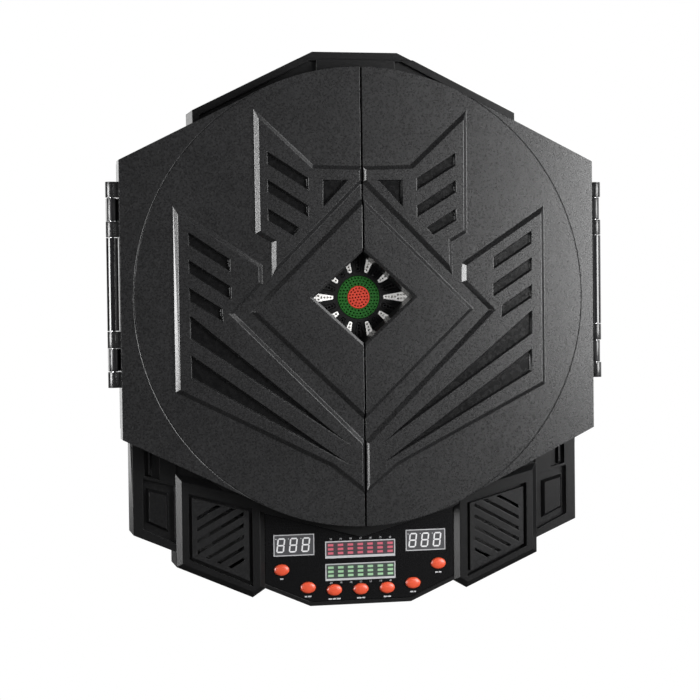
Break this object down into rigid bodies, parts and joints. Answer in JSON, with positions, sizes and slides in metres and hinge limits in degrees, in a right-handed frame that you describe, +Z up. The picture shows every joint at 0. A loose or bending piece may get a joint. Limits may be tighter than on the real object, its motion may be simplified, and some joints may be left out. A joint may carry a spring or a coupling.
{
  "type": "electronic dartboard",
  "caption": "Wall-hung electronic dartboard in a black cabinet: hinged relief-panelled doors with a diamond window over the bull, and a lower console with displays, push buttons and speakers.",
  "frame": {"origin": "where the bull's axis meets the wall plane, on the back face of the rear cover", "axes": "+X to the right seen from the front, +Y into the wall, +Z up; the front faces -Y"},
  "size_m": [0.479, 0.069, 0.5267],
  "materials": {
    "housing_plastic": "fine pebbled matte black moulding",
    "door_plastic": "fine pebbled matte black moulding",
    "liner_plastic": "satin black sheet",
    "grille_plastic": "fine pebbled matte black moulding",
    "fascia_plastic": "smooth semi-gloss black with white printed marks",
    "spider_plastic": "satin black",
    "segment_black": "satin black with dart holes",
    "segment_white": "satin white with dart holes",
    "segment_red": "satin red with dart holes",
    "segment_green": "satin green with dart holes",
    "button_orange": "smooth satin orange-red",
    "score_display": "smoked face with pale seven-segment digits",
    "cricket_display_red": "smoked face with pink-red bars",
    "cricket_display_green": "smoked face with pale green bars",
    "circuit_board": "green solder mask",
    "switch_plastic": "black",
    "membrane_film": "translucent printed film",
    "pad_rubber": "plain black rubber",
    "hardboard": "pressed hardboard",
    "speaker_metal": "black lacquered steel",
    "hinge_black": "satin black",
    "hinge_gloss": "polished black",
    "pin_steel": "plain bright steel",
    "screw_steel": "zinc-plated",
    "magnet_nickel": "nickel-plated",
    "strike_steel": "plain sheet steel",
    "jack_plastic": "black"
  },
  "bodies": {
    "cabinet": {"backing_plate": "hardboard", "board_screws": "screw_steel", "console_fascia": "fascia_plastic", "cricket_display_green": "cricket_display_green", "cricket_display_red": "cricket_display_red", "dc_jack": "jack_plastic", "display_board": "circuit_board", "display_cable": "membrane_film", "double_green": "segment_green", "double_red": "segment_red", "hinge_brackets_left": "hinge_black", "hinge_brackets_right": "hinge_black", "hinge_pin_left": "pin_steel", "hinge_pin_right": "pin_steel", "hinge_screws_left": "screw_steel", "hinge_screws_right": "screw_steel", "housing_front": "housing_plastic", "inner_single_black": "segment_black", "inner_single_white": "segment_white", "key_switches": "switch_plastic", "main_board": "circuit_board", "membrane_tail": "membrane_film", "outer_single_black": "segment_black", "outer_single_white": "segment_white", "rear_cover": "housing_plastic", "rear_screws": "screw_steel", "rubber_pad": "pad_rubber", "score_display_left": "score_display", "score_display_right": "score_display", "sensor_membrane": "membrane_film", "speaker_grille_left": "grille_plastic", "speaker_grille_right": "grille_plastic", "speaker_left": "speaker_metal", "speaker_right": "speaker_metal", "spider_frame": "spider_plastic", "strike_plates": "strike_steel", "target_screws": "screw_steel", "triple_green": "segment_green", "triple_red": "segment_red"},
    "door_left": {"dart_rack_left": "liner_plastic", "door_left": "door_plastic", "door_liner_left": "liner_plastic", "door_magnets_left": "magnet_nickel", "hinge_tube_left": "hinge_gloss", "liner_screws_left": "screw_steel"},
    "door_right": {"dart_rack_right": "liner_plastic", "door_right": "door_plastic", "door_liner_right": "liner_plastic", "door_magnets_right": "magnet_nickel", "hinge_tube_right": "hinge_gloss", "liner_screws_right": "screw_steel"},
    "outer_bull": {"outer_bull": "segment_green"},
    "inner_bull": {"inner_bull": "segment_red"},
    "button_1": {"button_1": "button_orange"},
    "button_2": {"button_2": "button_orange"},
    "button_3": {"button_3": "button_orange"},
    "button_4": {"button_4": "button_orange"},
    "button_5": {"button_5": "button_orange"},
    "button_6": {"button_6": "button_orange"},
    "button_7": {"button_7": "button_orange"}
  },
  "joints": [
    {"name": "door_left_hinge", "type": "hinge", "parent": "cabinet", "child": "door_left", "pos_m": [-0.234, -0.0545, 0], "axis": [0, 0, -1], "range_deg": [0, 175]},
    {"name": "door_right_hinge", "type": "hinge", "parent": "cabinet", "child": "door_right", "pos_m": [0.234, -0.0545, 0], "axis": [0, 0, 1], "range_deg": [0, 175]},
    {"name": "outer_bull_press", "type": "slide", "parent": "cabinet", "child": "outer_bull", "axis": [0, 1, 0], "range_m": [0, 0.0012], "stiffness_N_per_m": 1500},
    {"name": "inner_bull_press", "type": "slide", "parent": "cabinet", "child": "inner_bull", "axis": [0, 1, 0], "range_m": [0, 0.0012], "stiffness_N_per_m": 1500},
    {"name": "button_1_press", "type": "slide", "parent": "cabinet", "child": "button_1", "axis": [0, 1, 0], "range_m": [0, 0.0015], "stiffness_N_per_m": 600},
    {"name": "button_2_press", "type": "slide", "parent": "cabinet", "child": "button_2", "axis": [0, 1, 0], "range_m": [0, 0.0015], "stiffness_N_per_m": 600},
    {"name": "button_3_press", "type": "slide", "parent": "cabinet", "child": "button_3", "axis": [0, 1, 0], "range_m": [0, 0.0015], "stiffness_N_per_m": 600},
    {"name": "button_4_press", "type": "slide", "parent": "cabinet", "child": "button_4", "axis": [0, 1, 0], "range_m": [0, 0.0015], "stiffness_N_per_m": 600},
    {"name": "button_5_press", "type": "slide", "parent": "cabinet", "child": "button_5", "axis": [0, 1, 0], "range_m": [0, 0.0015], "stiffness_N_per_m": 600},
    {"name": "button_6_press", "type": "slide", "parent": "cabinet", "child": "button_6", "axis": [0, 1, 0], "range_m": [0, 0.0015], "stiffness_N_per_m": 600},
    {"name": "button_7_press", "type": "slide", "parent": "cabinet", "child": "button_7", "axis": [0, 1, 0], "range_m": [0, 0.0015], "stiffness_N_per_m": 600}
  ]
}
